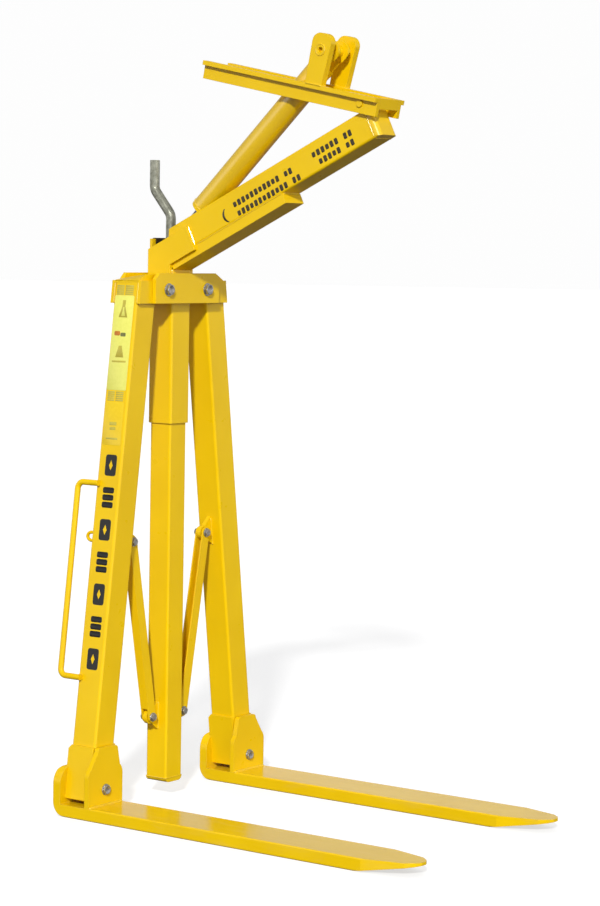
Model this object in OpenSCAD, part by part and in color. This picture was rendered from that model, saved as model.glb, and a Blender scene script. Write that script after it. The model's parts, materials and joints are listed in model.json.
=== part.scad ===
// Self-balancing crane pallet fork: two splayed legs with hinged tines under a head,
// a screw-driven centre mast that spreads them, and a sprung balance lever on a boom.
// +X is the way the tines point, +Y the left of someone behind the mast looking along
// the tines, +Z up. The floor is z = 0 and the origin is the middle of the footprint.

/* [Tines] */
// Length of a tine from the back of its heel to its tip
tine_len = 1130; // [1050:5:1180]
// Width of a tine
tine_w = 140; // [136:1:146]
// Thickness of a tine
tine_t = 34; // [33:1:37]
// Length of the wedge at the tip of a tine
tine_wedge = 162; // [140:1:190]
// Thickness of the tine's front edge
tine_tip_t = 8; // [6:1:10]
// Height of the hinge bolt of a tine above the floor
tine_bolt_z = 75; // [74:0.5:77]
// Height of the heel behind the leg
heel_h = 132; // [120:1:140]
// Height of the hinge lug in front of the leg
lug_h = 188; // [180:1:195]

/* [Legs] */
// Outside size of the square tube of a leg
leg_size = 80; // [78:1:82]
// Wall of the leg tube
leg_wall = 5; // [4:0.5:6]
// Splay of a leg from upright, in degrees
splay = 7.3; // [7:0.1:7.6]
// Distance from the head bolt to the tine bolt along a leg
leg_len = 1339; // [1320:1:1350]
// Distance from the head bolt to the centre line of its leg
leg_offset = 62; // [60:1:64]
// Distance from the middle of the head to each head bolt
head_bolt_y = 84; // [82:0.5:86]

/* [Mast] */
// Outside size of the fixed outer tube
mast_size = 80; // [80:0.5:81]
// Outside size of the sliding inner tube
inner_size = 70; // [68:0.5:70]
// Height of the lower end of the outer tube
mast_foot_z = 1032; // [1000:1:1060]
// Height of the lower end of the inner tube
inner_foot_z = 45; // [45:1:60]
// Distance along a leg from the head bolt to the brace bolt
brace_drop = 681; // [670:1:690]
// Length of a brace between its bolts
brace_len = 497; // [486:1:500]
// Radius of the crank rod
crank_r = 13.5; // [12:0.5:14]
// Throw of the crank
crank_throw = 58; // [50:1:62]

/* [Boom and lever] */
// Slope of the boom, in degrees
boom_slope = 26; // [25.5:0.1:26.5]
// Length of the boom from the mast's axis to the end of its cap
boom_len = 768; // [766:1:770]
// Size of the square tube of the boom
boom_size = 80; // [80:0.5:81]
// Depth of the stiffener under the boom
stiff_depth = 28; // [24:1:29]
// Slope of the balance lever at rest, in degrees
lever_slope = 11.2; // [11:0.1:11.4]
// Length of the lever behind its hinge
rail_rear = 512; // [500:1:520]
// Height of the lifting pin above the lever's hinge, square to the lever
hook_z = 113; // [111:0.5:115]
// Radius of the lifting pin
hook_r = 14; // [13:0.5:16]
// Radius of the spring strut's tube
strut_r = 33; // [31:0.5:33]

/* [Hidden] */
$fn = 64;
left = 1;
right = -1;

// Plate thicknesses and hardware
plate = 12;
lug_plate = 10;
gap = 0.5;
m20 = 10;
m12 = 6;
fit = 0.05;
slack = 0.1;

// The tines stand on the floor, so the head's height follows from the legs
half_leg = leg_size / 2;
tine_y = head_bolt_y + leg_offset * cos(splay) + leg_len * sin(splay);
head_bolt_z = tine_bolt_z - leg_offset * sin(splay) + leg_len * cos(splay);
lug_x = half_leg + 2;
lug_t = 14;
lug_seat = 1;
heel_t = 24;
heel_x = -lug_x - heel_t;
tip_x = heel_x + tine_len;
foot_gap = 11;
edge = 4;

// Head: front and rear plates outside the legs' brackets
head_in = half_leg + lug_plate + gap;
head_out = head_in + plate;
head_half = 138;
head_foot_z = head_bolt_z - 37;
head_top_z = head_bolt_z + 44;
leg_top_z = head_bolt_z + 24;
bolt_head_t = 12;
bolt_head_r = 17.3;

// Mast and screw
half_mast = mast_size / 2;
mast_wall = 4;
mast_top_z = head_bolt_z + 54;
inner_wall = 5;
inner_top_z = 1330;
bearing_t = 12;
screw_r = 12;
screw_foot_z = 1120;
collar_r = 20;
crank_hub_z = mast_top_z + bearing_t + 18;
crank_bend_z = mast_top_z + 136;
crank_bend = 40;
crank_elbow = 30;
crank_slope = (crank_throw - 2 * crank_elbow * (1 - cos(crank_bend))) / sin(crank_bend);
crank_top_z = mast_top_z + 295;

// Braces: upper bolt on the leg, lower bolt on the inner tube
brace_in = 12;
tube_bolt_y = 68;
leg_bolt_y = head_bolt_y - brace_in * cos(splay) + brace_drop * sin(splay);
leg_bolt_z = head_bolt_z - brace_in * sin(splay) - brace_drop * cos(splay);
brace_lean = asin((leg_bolt_y - tube_bolt_y) / brace_len);
tube_bolt_z = leg_bolt_z - brace_len * cos(brace_lean);
brace_w = 30;
brace_d = 26;
brace_t = 4;
web_cut_top = 62;
web_cut_foot = 26;
open_pivot = 3.8;

// Boom: s runs along it from the mast's axis, n is square to it
half_boom = boom_size / 2;
boom_wall = 5;
boom_z = head_bolt_z + 108;
cap_t = 18;
nose_r = 14;
cheek_t = 10;
cheek_rise = 16;
cheek_drop = 53;
cheek_len = 109;
slot_end = 250;
stiff_start = 14;
stiff_end = 428;
function boom_x(s, n) = s * cos(boom_slope) - n * sin(boom_slope);
function boom_up(s, n) = boom_z + s * sin(boom_slope) + n * cos(boom_slope);

// Lever: hinged on a bush welded to the top of the boom's front end
hinge_s = boom_len - 16;
hinge_n = half_boom + 14;
hinge_x = boom_x(hinge_s, hinge_n);
hinge_z = boom_up(hinge_s, hinge_n);
hinge_r = 9;
bush_r = 16;
rail_in = 42;
rail_t = 12;
rail_out = 66;
rail_top = 23.5;
rail_foot = -24;
rail_front = 53;
hook_x = -143;
hook_w = 60;
hook_lean = 8;
hook_plate_in = 45;
hook_plate_out = 65;
hook_top = 156;

// Strut: from its lower pin in the boom to the lifting pin
strut_s = 70;
strut_n = 25;
strut_x = boom_x(strut_s, strut_n);
strut_z = boom_up(strut_s, strut_n);
lift_x = hinge_x + hook_x * cos(lever_slope) + hook_z * sin(lever_slope);
lift_z = hinge_z - hook_x * sin(lever_slope) + hook_z * cos(lever_slope);
strut_len = norm([lift_x - strut_x, lift_z - strut_z]);
strut_slope = atan2(lift_z - strut_z, lift_x - strut_x);
strut_wall = 4.5;
strut_foot = 78;
strut_head = strut_len - 52;
rod_r = 14;
rod_top = 560;
rod_eye_r = 18;
strut_pin_r = 9;
piston_t = 24;
rod_play = 3;
spring_wire = 4;
spring_r = 20.5;
spring_turns = 18;

// Carrying handle on the right leg and the peg beside it
handle_r = 8;
handle_back = 56;
handle_top = -533;
handle_foot = -1051;
handle_reach = 14;
handle_x = -half_leg - handle_back;

// The origin is moved to the middle of the footprint
shift_x = -(tip_x + handle_x - handle_r) / 2;

// ---- frames ----
module placed() { translate([shift_x, 0, 0]) children(); }
module on_side(side) { mirror([0, side < 0 ? 1 : 0, 0]) children(); }
module leg_frame() {
    translate([0, head_bolt_y, head_bolt_z]) rotate([splay, 0, 0]) children();
}
module boom_frame() {
    translate([0, 0, boom_z]) rotate([0, -boom_slope, 0]) children();
}
module lever_frame() {
    translate([hinge_x, 0, hinge_z]) rotate([0, lever_slope, 0]) children();
}
module strut_frame() {
    translate([strut_x, 0, strut_z]) rotate([0, -strut_slope, 0]) children();
}
module brace_frame() {
    translate([0, leg_bolt_y, leg_bolt_z]) rotate([-brace_lean, 0, 0]) children();
}

// ---- shapes ----
// Outline in X and Z, from y0 to y1
module slab_y(y0, y1) {
    translate([0, y1, 0]) rotate([90, 0, 0]) linear_extrude(y1 - y0) children();
}
// Outline in Y and Z, from x0 to x1
module slab_x(x0, x1) {
    translate([x0, 0, 0]) rotate([90, 0, 90]) linear_extrude(x1 - x0) children();
}
module rod_x(r, x0, x1, sides = $fn) {
    translate([x0, 0, 0]) rotate([0, 90, 0]) cylinder(r = r, h = x1 - x0, $fn = sides);
}
module rod_y(r, y0, y1) {
    translate([0, y0, 0]) rotate([-90, 0, 0]) cylinder(r = r, h = y1 - y0);
}
module rod_z(r, z0, z1) { translate([0, 0, z0]) cylinder(r = r, h = z1 - z0); }
module round_square(size, r) {
    inset = size - 2 * r;
    square([inset, size], center = true);
    square([size, inset], center = true);
    for (x = [-1, 1], y = [-1, 1])
        translate([x * inset / 2, y * inset / 2]) circle(r = r);
}
// Square tube along Z
module tube_z(size, wall, r, z0, z1) {
    translate([0, 0, z0]) linear_extrude(z1 - z0) difference() {
        round_square(size, r);
        round_square(size - 2 * wall, max(r - wall, 1));
    }
}
// Strip of width w with round ends centred at a and b
module strip(a, b, w) {
    along = b - a;
    translate(a) rotate(atan2(along[1], along[0]))
        translate([0, -w / 2]) square([norm(along), w]);
    for (p = [a, b]) translate(p) circle(d = w);
}
// Half outline in Y and Z, completed by its mirror image
function mirrored(half) =
    concat(half, [for (i = [len(half) - 1:-1:0]) [-half[i][0], half[i][1]]]);
function arc(centre, r, from, to, steps = 10) = [for (i = [0:steps])
    let (a = from + (to - from) * i / steps) centre + r * [cos(a), sin(a)]];

// ---- mast and head ----
module mast_tube() {
    color("gold") placed() tube_z(mast_size, mast_wall, 7, mast_foot_z, mast_top_z);
}
module head_outline() {
    difference() {
        polygon(mirrored([
            [-head_half, head_foot_z], [-head_half, head_top_z - 16],
            [-head_half + 16, head_top_z]
        ]));
        for (side = [left, right])
            translate([side * head_bolt_y, head_bolt_z]) circle(r = m20 + slack);
    }
}
module head_plate_front() {
    color("gold") placed() slab_x(head_in, head_out) head_outline();
}
module head_plate_rear() {
    color("gold") placed() slab_x(-head_out, -head_in) head_outline();
}
module head_pads() {
    color("gold") placed() for (side = [-1, 1])
        translate([side * (half_mast + head_in) / 2, 0, (head_foot_z + head_top_z) / 2])
            cube([head_in - half_mast, 2 * (half_mast - 8), head_top_z - head_foot_z - 12],
                center = true);
}
module bearing_plate() {
    color("gold") placed() difference() {
        translate([0, 0, mast_top_z + bearing_t / 2])
            cube([mast_size - 18, mast_size - 4, bearing_t], center = true);
        rod_z(screw_r + fit, mast_top_z - 1, mast_top_z + bearing_t + 1);
    }
}
module bolt_x(r, x0, x1, head_r, head_t) {
    rod_x(r, x0, x1);
    rod_x(head_r, x1, x1 + head_t, sides = 6);
}
module nut_x(r, x0, head_r, t) {
    difference() {
        rod_x(head_r, x0, x0 + t, sides = 6);
        rod_x(r + slack, x0 - 1, x0 + t + 1);
    }
}
module at_head_bolts() {
    for (side = [left, right])
        translate([0, side * head_bolt_y, head_bolt_z]) children();
}
module head_bolts() {
    color("silver") placed() at_head_bolts()
        bolt_x(m20, -head_out - 22, head_out, bolt_head_r, bolt_head_t);
}
module head_nuts() {
    color("silver") placed() at_head_bolts()
        nut_x(m20, -head_out - 16, bolt_head_r, 16);
}

// ---- legs ----
module bracket_outline() {
    difference() {
        intersection() {
            union() {
                circle(r = 36);
                translate([0, -120]) square([leg_offset + half_leg, 220]);
            }
            rotate(-splay) translate([-60, head_foot_z - head_bolt_z])
                square([240, leg_top_z - head_foot_z]);
        }
        circle(r = m20 + fit);
    }
}
module leg_tube(side) {
    color("gold") placed() on_side(side) difference() {
        leg_frame() difference() {
            translate([0, leg_offset, 0])
                tube_z(leg_size, leg_wall, 7, -leg_len - 90, 90);
            translate([0, leg_offset, -leg_len])
                rod_x(17, -half_leg - 1, half_leg + 1);
        }
        translate([-100, 0, tine_t + foot_gap - 200]) cube([200, 600, 200]);
        translate([-100, 0, leg_top_z - 6]) cube([200, 600, 200]);
    }
}
module leg_bracket(side) {
    color("gold") placed() on_side(side) {
        leg_frame() {
            slab_x(half_leg, half_leg + lug_plate) bracket_outline();
            slab_x(-half_leg - lug_plate, -half_leg) bracket_outline();
        }
        // lid that closes the top of the leg
        intersection() {
            leg_frame() translate([0, leg_offset, 0]) cube([leg_size, leg_size, 200],
                center = true);
            translate([-half_leg, 0, leg_top_z - 6]) cube([leg_size, 400, 6]);
        }
    }
}
module brace_lug(side) {
    color("gold") placed() on_side(side) leg_frame() difference() {
        slab_x(-6, 6) union() {
            translate([-brace_in, -brace_drop]) circle(r = 19);
            polygon([
                [-brace_in + 4, -brace_drop - 18], [-brace_in + 4, -brace_drop + 18],
                [leg_offset - half_leg, -brace_drop + 40],
                [leg_offset - half_leg, -brace_drop - 40]
            ]);
        }
        translate([0, -brace_in, -brace_drop]) rod_x(m12 + slack, -10, 10);
    }
}
module brace_bolt(side) {
    color("silver") placed() on_side(side) translate([0, leg_bolt_y, leg_bolt_z]) {
        bolt_x(m12, -22, brace_d / 2 + gap, 10.4, 8);
        nut_x(m12 - slack, -brace_d / 2 - gap - 9, 10.4, 9);
    }
}
module foot_sleeve(side) {
    color("gold") placed() on_side(side) leg_frame()
        translate([0, leg_offset, -leg_len]) difference() {
            rod_x(17, -half_leg - 1, half_leg + 1);
            rod_x(m20 + fit, -half_leg - 2, half_leg + 2);
        }
}
module carry_handle() {
    side_y = leg_offset + half_leg + handle_r;
    start_x = -half_leg + handle_reach;
    bend = 18;
    color("gold") placed() on_side(right) leg_frame() translate([0, side_y, 0]) {
        for (z = [handle_top, handle_foot])
            translate([0, 0, z]) rod_x(handle_r, handle_x + bend, start_x);
        translate([handle_x, 0, 0])
            rod_z(handle_r, handle_foot + bend, handle_top - bend);
        for (up = [0, 1]) {
            z = up == 1 ? handle_top - bend : handle_foot + bend;
            translate([handle_x + bend, 0, z]) rotate([90, 0, 0])
                rotate([0, 0, up == 1 ? 90 : 180])
                rotate_extrude(angle = 90) translate([bend, 0]) circle(r = handle_r);
        }
    }
}
module chain_peg() {
    color("gold") placed() on_side(right) leg_frame()
        translate([0, leg_offset + 16, -676]) {
            rod_x(8, -half_leg - 34, -half_leg);
            rod_x(11, -half_leg - 38, -half_leg - 34);
        }
}

// ---- tines ----
module tine_side() {
    wedge_x = tip_x - tine_wedge;
    heel_r = 38;
    top_r = 14;
    polygon(concat(
        arc([heel_x + heel_r, heel_r], heel_r, 270, 180),
        arc([heel_x + top_r, heel_h - top_r], top_r, 180, 90, 6),
        [[-lug_x, heel_h], [-lug_x, tine_t], [tip_x, tine_t],
            [tip_x, tine_t - tine_tip_t], [wedge_x, 0]]
    ));
}
module tine_plan() {
    half = tine_w / 2;
    wedge_x = tip_x - tine_wedge + 22;
    tip_half = 24;
    tip_r = 30;
    intersection() {
        polygon(mirrored_y([
            [heel_x - 1, half], [wedge_x, half], [tip_x - tip_r, tip_half + 18],
            [tip_x - 8, tip_half], [tip_x, tip_half - 14]
        ]));
        translate([heel_x - 1, -half]) square([tine_len + 2, tine_w]);
    }
}
function mirrored_y(half) =
    concat(half, [for (i = [len(half) - 1:-1:0]) [half[i][0], -half[i][1]]]);
module heel_outline() {
    half = tine_w / 2;
    shoulder = 46;
    polygon(mirrored(concat(
        [[-half, -1]],
        arc([-half + shoulder, heel_h - shoulder], shoulder, 180, 90)
    )));
}
module tine(side) {
    half = tine_w / 2;
    wedge_x = tip_x - tine_wedge;
    color("gold") placed() on_side(side) translate([0, tine_y, 0]) difference() {
        intersection() {
            slab_y(-half, half) tine_side();
            linear_extrude(heel_h + 1) tine_plan();
            union() {
                slab_x(heel_x - 1, -lug_x + 1) heel_outline();
                translate([-lug_x, -half, -1]) cube([tine_len, tine_w, tine_t + 2]);
            }
        }
        translate([0, 0, tine_bolt_z]) rod_x(m20 + slack, heel_x - 1, -lug_x + 1);
        // seat under the leg and the lug
        translate([-lug_x, -half - 1, tine_t - lug_seat])
            cube([2 * lug_x + lug_t, tine_w + 2, lug_seat + 1]);
        // chamfers along the long edges
        for (y = [-half, half]) {
            translate([tine_len / 2, y, 0]) rotate([45, 0, 0])
                cube([2 * tine_len, edge, edge], center = true);
            translate([lug_x + lug_t + 4, y, tine_t]) rotate([45, 0, 0])
                translate([0, -edge / 2, -edge / 2]) cube([tine_len, edge, edge]);
        }
    }
}
module tine_lug(side) {
    half = tine_w / 2;
    lean = -10;
    color("gold") placed() on_side(side) translate([0, tine_y, 0]) difference() {
        slab_x(lug_x, lug_x + lug_t) polygon(concat(
            [[-half, tine_t - lug_seat], [-half, 112]],
            arc([-half + 30, 112], 30, 180, 130, 6),
            arc([lean - 40 + 10, lug_h - 10], 10, 180, 90, 6),
            arc([lean + 40 - 10, lug_h - 10], 10, 90, 0, 6),
            arc([half - 30, 112], 30, 50, 0, 6),
            [[half, 112], [half, tine_t - lug_seat]]
        ));
        translate([0, 0, tine_bolt_z]) rod_x(m20 + slack, lug_x - 1, lug_x + lug_t + 1);
    }
}
module at_tine_bolt(side) {
    placed() on_side(side) translate([0, tine_y, tine_bolt_z]) children();
}
module tine_bolt(side) {
    color("silver") at_tine_bolt(side)
        bolt_x(m20, heel_x - 20, lug_x + lug_t, 15, 9);
}
module tine_nut(side) {
    color("silver") at_tine_bolt(side) nut_x(m20, heel_x - 14, bolt_head_r, 14);
}

// ---- sliding tube, screw and braces ----
module inner_tube() {
    color("gold") placed() tube_z(inner_size, inner_wall, 6, inner_foot_z + 12, inner_top_z);
}
module tube_plug() {
    round_r = 14;
    half = inner_size / 2;
    color("gold") placed() {
        slab_x(-half, half) polygon(mirrored(concat(
            arc([-half + round_r, inner_foot_z + round_r], round_r, 270, 210, 6),
            [[-half, inner_foot_z + 12]]
        )));
        translate([0, 0, inner_foot_z + 12])
            linear_extrude(20) square(inner_size - 2 * inner_wall - 1, center = true);
    }
}
module tube_lugs() {
    reach = inner_size / 2;
    color("gold") placed() for (side = [left, right]) on_side(side) difference() {
        slab_x(-6, 6) union() {
            translate([tube_bolt_y, tube_bolt_z]) circle(r = 19);
            polygon([
                [reach, tube_bolt_z - 40], [reach, tube_bolt_z + 40],
                [tube_bolt_y - 4, tube_bolt_z + 18], [tube_bolt_y - 4, tube_bolt_z - 18]
            ]);
        }
        translate([0, tube_bolt_y, tube_bolt_z]) rod_x(m12 + open_pivot, -10, 10);
    }
}
module screw_nut() {
    inside = inner_size - 2 * inner_wall - 1;
    color("silver") placed() difference() {
        translate([0, 0, inner_top_z - 40]) linear_extrude(40) square(inside, center = true);
        rod_z(screw_r + fit, inner_top_z - 50, inner_top_z + 10);
    }
}
module brace_bar(side) {
    half = brace_w / 2;
    inner_d = brace_d - 2 * brace_t;
    color("gold") placed() on_side(side) brace_frame() difference() {
        slab_x(-brace_d / 2, brace_d / 2) strip([0, 0], [0, -brace_len], brace_w);
        // channel open towards the mast, with its web cut back clear of both lugs
        translate([-inner_d / 2, -half - 1, -brace_len - brace_w])
            cube([inner_d, brace_w + 1 - brace_t, brace_len + 2 * brace_w]);
        translate([-inner_d / 2, -half - 1, -web_cut_top])
            cube([inner_d, brace_w + 2, web_cut_top + brace_w]);
        translate([-inner_d / 2, -half - 1, -brace_len - brace_w])
            cube([inner_d, brace_w + 2, brace_w + web_cut_foot]);
        rod_x(m12 + fit, -brace_d, brace_d);
        translate([0, 0, -brace_len]) rod_x(m12 + slack, -brace_d, brace_d);
    }
}
module brace_pin(side) {
    color("silver") placed() on_side(side) translate([0, tube_bolt_y, tube_bolt_z]) {
        bolt_x(m12, -22, brace_d / 2, 10.4, 8);
        nut_x(m12 - slack, -brace_d / 2 - 9, 10.4, 9);
    }
}
module screw() {
    color("silver") placed() rod_z(screw_r, screw_foot_z, crank_hub_z);
}
module crank_collar() {
    foot = mast_top_z + bearing_t + gap;
    color("silver") placed() difference() {
        rod_z(collar_r, foot, crank_hub_z - 4);
        rod_z(screw_r + slack, foot - 1, crank_hub_z);
    }
}
// Elbow of a bent rod in X and Z, from angle a0 through the bend; its ends
// run on into the straight lengths, so it is thinner by a hair
module elbow(centre, a0) {
    run_on = 2;
    translate(centre) rotate([90, 0, 0]) rotate([0, 0, a0 - run_on])
        rotate_extrude(angle = crank_bend + 2 * run_on)
            translate([crank_elbow, 0]) circle(r = crank_r - 0.05);
}
module crank_handle() {
    turn_in = [-crank_elbow, 0, crank_bend_z];
    slope_foot = turn_in + crank_elbow * [cos(crank_bend), 0, sin(crank_bend)];
    slope_head = slope_foot + crank_slope * [-sin(crank_bend), 0, cos(crank_bend)];
    turn_out = slope_head + crank_elbow * [cos(crank_bend), 0, sin(crank_bend)];
    color("silver") placed() {
        rod_z(crank_r, crank_hub_z, crank_bend_z);
        elbow(turn_in, 0);
        translate(slope_foot) rotate([0, -crank_bend, 0])
            cylinder(r = crank_r, h = crank_slope);
        elbow(turn_out, 180);
        translate([-crank_throw, 0, 0]) rod_z(crank_r, turn_out[2], crank_top_z);
    }
}

// ---- boom ----
module cheek_outline() {
    back_s = (-half_mast + 2 + cheek_rise * sin(boom_slope)) / cos(boom_slope);
    front_s = (half_mast - 2 - cheek_drop * sin(boom_slope)) / cos(boom_slope);
    polygon([
        [-half_mast + 2, head_foot_z + 6],
        [-half_mast + 2, boom_up(back_s, cheek_rise)],
        [boom_x(cheek_len, cheek_rise), boom_up(cheek_len, cheek_rise)],
        [boom_x(cheek_len, -cheek_drop), boom_up(cheek_len, -cheek_drop)],
        [half_mast - 2, boom_up(front_s, -cheek_drop)],
        [half_mast - 2, head_foot_z + 6]
    ]);
}
module boom_cheek(side) {
    color("gold") placed() on_side(side)
        slab_y(half_boom, half_boom + cheek_t) cheek_outline();
}
module boom_back_plate() {
    color("gold") placed() translate([-half_mast, -half_boom, mast_top_z])
        cube([8, boom_size, 82]);
}
module boom_tube() {
    inner = boom_size - 2 * boom_wall;
    color("gold") placed() difference() {
        boom_frame() difference() {
            rotate([0, 90, 0]) tube_z(boom_size, boom_wall, 6, -60, boom_len - cap_t);
            translate([-70, -inner / 2, 0]) cube([slot_end + 70, inner, boom_size]);
            translate([strut_s, 0, strut_n]) rod_y(strut_pin_r, -half_boom - 1, half_boom + 1);
        }
        translate([-200 + 25, -100, boom_z - 200]) cube([200, 200, 400]);
    }
}
module boom_stiffener() {
    foot = -half_boom - stiff_depth;
    color("gold") placed() boom_frame() difference() {
        translate([stiff_start, -half_boom, foot])
            cube([stiff_end - stiff_start, boom_size, stiff_depth]);
        translate([stiff_start + 6, -half_boom + 6, foot + 6])
            cube([stiff_end - stiff_start - 12, boom_size - 12, stiff_depth]);
    }
}
// Thick cap whose upright edges are rounded off
module boom_end_cap() {
    across = half_boom - nose_r;
    color("gold") placed() boom_frame() intersection() {
        translate([boom_len - cap_t, 0, 0]) rotate([90, 0, 90])
            linear_extrude(cap_t) round_square(boom_size, 6);
        translate([0, 0, -half_boom - 1]) linear_extrude(boom_size + 2) hull() {
            translate([boom_len - boom_size, -half_boom]) square([10, boom_size]);
            for (y = [-across, across]) translate([boom_len - nose_r, y]) circle(r = nose_r);
        }
    }
}
module lever_bush() {
    color("gold") placed() difference() {
        translate([hinge_x, 0, hinge_z]) difference() {
            rod_y(bush_r, -rail_in + gap, rail_in - gap);
            rod_y(hinge_r + fit, -60, 60);
        }
        boom_frame() translate([0, -half_boom - 5, -half_boom])
            cube([boom_len, boom_size + 10, boom_size]);
    }
}
module strut_foot_pin() {
    color("gold") placed() boom_frame() translate([strut_s, 0, strut_n])
        rod_y(strut_pin_r, -half_boom, half_boom);
}

// ---- balance lever ----
module rail(side) {
    color("gold") placed() on_side(side) lever_frame() difference() {
        union() {
            translate([-rail_rear, rail_in, rail_foot])
                cube([rail_rear + rail_front, rail_t, rail_top - rail_foot]);
            translate([-rail_rear, rail_in, rail_top - rail_t])
                cube([rail_rear + rail_front, rail_out - rail_in, rail_t]);
        }
        rod_y(hinge_r + slack, rail_in - 1, rail_in + rail_t + 1);
    }
}
module lever_front_plate() {
    color("gold") placed() lever_frame()
        translate([rail_front - 8, -rail_in, -4]) cube([8, 2 * rail_in, rail_top + 4]);
}
module hook_plate(side) {
    half = hook_w / 2;
    color("gold") placed() on_side(side) lever_frame() difference() {
        slab_y(hook_plate_in, hook_plate_out) union() {
            polygon([
                [hook_x - half, rail_top],
                [hook_x + half - hook_lean, rail_top],
                [hook_x + half, hook_top - 24],
                [hook_x - half, hook_top - 24]
            ]);
            translate([hook_x - half + 24, hook_top - 24 - 1]) square([hook_w - 48, 25]);
            for (x = [hook_x - half + 24, hook_x + half - 24])
                translate([x, hook_top - 24]) circle(r = 24);
        }
        translate([hook_x, 0, hook_z]) rod_y(hook_r + slack, 0, 100);
    }
}
module lifting_pin() {
    color("gold") placed() lever_frame() translate([hook_x, 0, hook_z])
        rod_y(hook_r, -hook_plate_out - 1, hook_plate_out + 1);
}
module lever_pin() {
    end = rail_in + rail_t;
    color("gold") placed() translate([hinge_x, 0, hinge_z]) {
        rod_y(hinge_r, -end - 4, end + 4);
    }
}

// ---- spring strut ----
module strut_tube() {
    color("gold") placed() strut_frame() difference() {
        rod_x(strut_r, strut_foot + 10, strut_head - 10);
        rod_x(strut_r - strut_wall, strut_foot, strut_head);
    }
}
module strut_end_cap() {
    color("gold") placed() strut_frame() difference() {
        rod_x(strut_r, strut_foot, strut_foot + 10);
        rod_x(rod_r + rod_play, strut_foot - 1, strut_foot + 11);
    }
}
module strut_fork() {
    ear_in = 18;
    ear_out = 27;
    ear_r = 29;
    neck = 20;
    color("gold") placed() strut_frame() {
        rod_x(strut_r, strut_head - 10, strut_head);
        for (side = [left, right]) on_side(side) difference() {
            intersection() {
                slab_y(ear_in, ear_out) union() {
                    translate([strut_len, 0]) circle(r = ear_r);
                    translate([strut_head, -neck]) square([strut_len - strut_head, 2 * neck]);
                }
                rod_x(strut_r, strut_head, strut_len + ear_r + 1);
            }
            translate([strut_len, 0, 0]) rod_y(hook_r + fit, 0, 60);
        }
    }
}
module strut_rod() {
    color("silver") placed() strut_frame() difference() {
        union() {
            rod_x(rod_r, 0, rod_top);
            rod_y(rod_eye_r, -17, 17);
        }
        rod_y(strut_pin_r + fit, -30, 30);
    }
}
module strut_piston() {
    color("silver") placed() strut_frame() difference() {
        rod_x(strut_r - strut_wall - rod_play, rod_top - piston_t, rod_top);
        rod_x(rod_r, rod_top - piston_t - 1, rod_top + 1);
    }
}
// Rings of a helix with flat ends, for the compression spring
module strut_spring() {
    foot = strut_foot + 12 + spring_wire;
    head = rod_top - piston_t - 2 - spring_wire;
    steps = spring_turns * 14;
    sides = 8;
    function spring_point(i, k) = let (
        turn = 360 * spring_turns * i / steps,
        ring = 360 * k / sides,
        r = spring_r + spring_wire * cos(ring)
    ) [foot + (head - foot) * i / steps + spring_wire * sin(ring),
        r * cos(turn), r * sin(turn)];
    color("dimgray") placed() strut_frame() polyhedron(
        points = [for (i = [0:steps], k = [0:sides - 1]) spring_point(i, k)],
        faces = concat(
            [[for (k = [0:sides - 1]) k]],
            [[for (k = [sides - 1:-1:0]) steps * sides + k]],
            [for (i = [0:steps - 1], k = [0:sides - 1])
                let (a = i * sides + k, b = i * sides + (k + 1) % sides)
                [a, a + sides, b + sides, b]]
        )
    );
}

mast_tube();
head_plate_front();
head_plate_rear();
head_pads();
bearing_plate();
boom_cheek(left);  // boom_cheek_left
boom_cheek(right);  // boom_cheek_right
boom_back_plate();
boom_tube();
boom_stiffener();
boom_end_cap();
lever_bush();
strut_foot_pin();
head_bolts();
head_nuts();
leg_tube(left);  // leg_tube_left
leg_bracket(left);  // leg_bracket_left
brace_lug(left);  // brace_lug_left
brace_bolt(left);  // brace_bolt_left
foot_sleeve(left);  // foot_sleeve_left
leg_tube(right);  // leg_tube_right
leg_bracket(right);  // leg_bracket_right
brace_lug(right);  // brace_lug_right
brace_bolt(right);  // brace_bolt_right
foot_sleeve(right);  // foot_sleeve_right
carry_handle();
chain_peg();
tine(left);  // tine_left
tine_lug(left);  // tine_lug_left
tine_bolt(left);  // tine_bolt_left
tine_nut(left);  // tine_nut_left
tine(right);  // tine_right
tine_lug(right);  // tine_lug_right
tine_bolt(right);  // tine_bolt_right
tine_nut(right);  // tine_nut_right
inner_tube();
tube_plug();
tube_lugs();
screw_nut();
brace_bar(left);  // brace_bar_left
brace_pin(left);  // brace_pin_left
brace_bar(right);  // brace_bar_right
brace_pin(right);  // brace_pin_right
screw();
crank_collar();
crank_handle();
rail(left);  // rail_left
rail(right);  // rail_right
lever_front_plate();
hook_plate(left);  // hook_plate_left
hook_plate(right);  // hook_plate_right
lifting_pin();
lever_pin();
strut_tube();
strut_end_cap();
strut_fork();
strut_rod();
strut_piston();
strut_spring();
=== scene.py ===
"""Crane pallet fork: finishes, fasteners, weld beads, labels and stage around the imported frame.

Lengths are in metres, in the frame of the CAD: +X the way the tines point, +Y left, +Z up, and
the floor at z = 0. The helper mm() turns millimetres into metres, so that workshop sizes read as
they are spoken. Pieces that come in pairs are built for the left side and mirrored.
"""

import json
import math
import random

import bmesh
import bpy
from mathutils import Matrix, Vector

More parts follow.
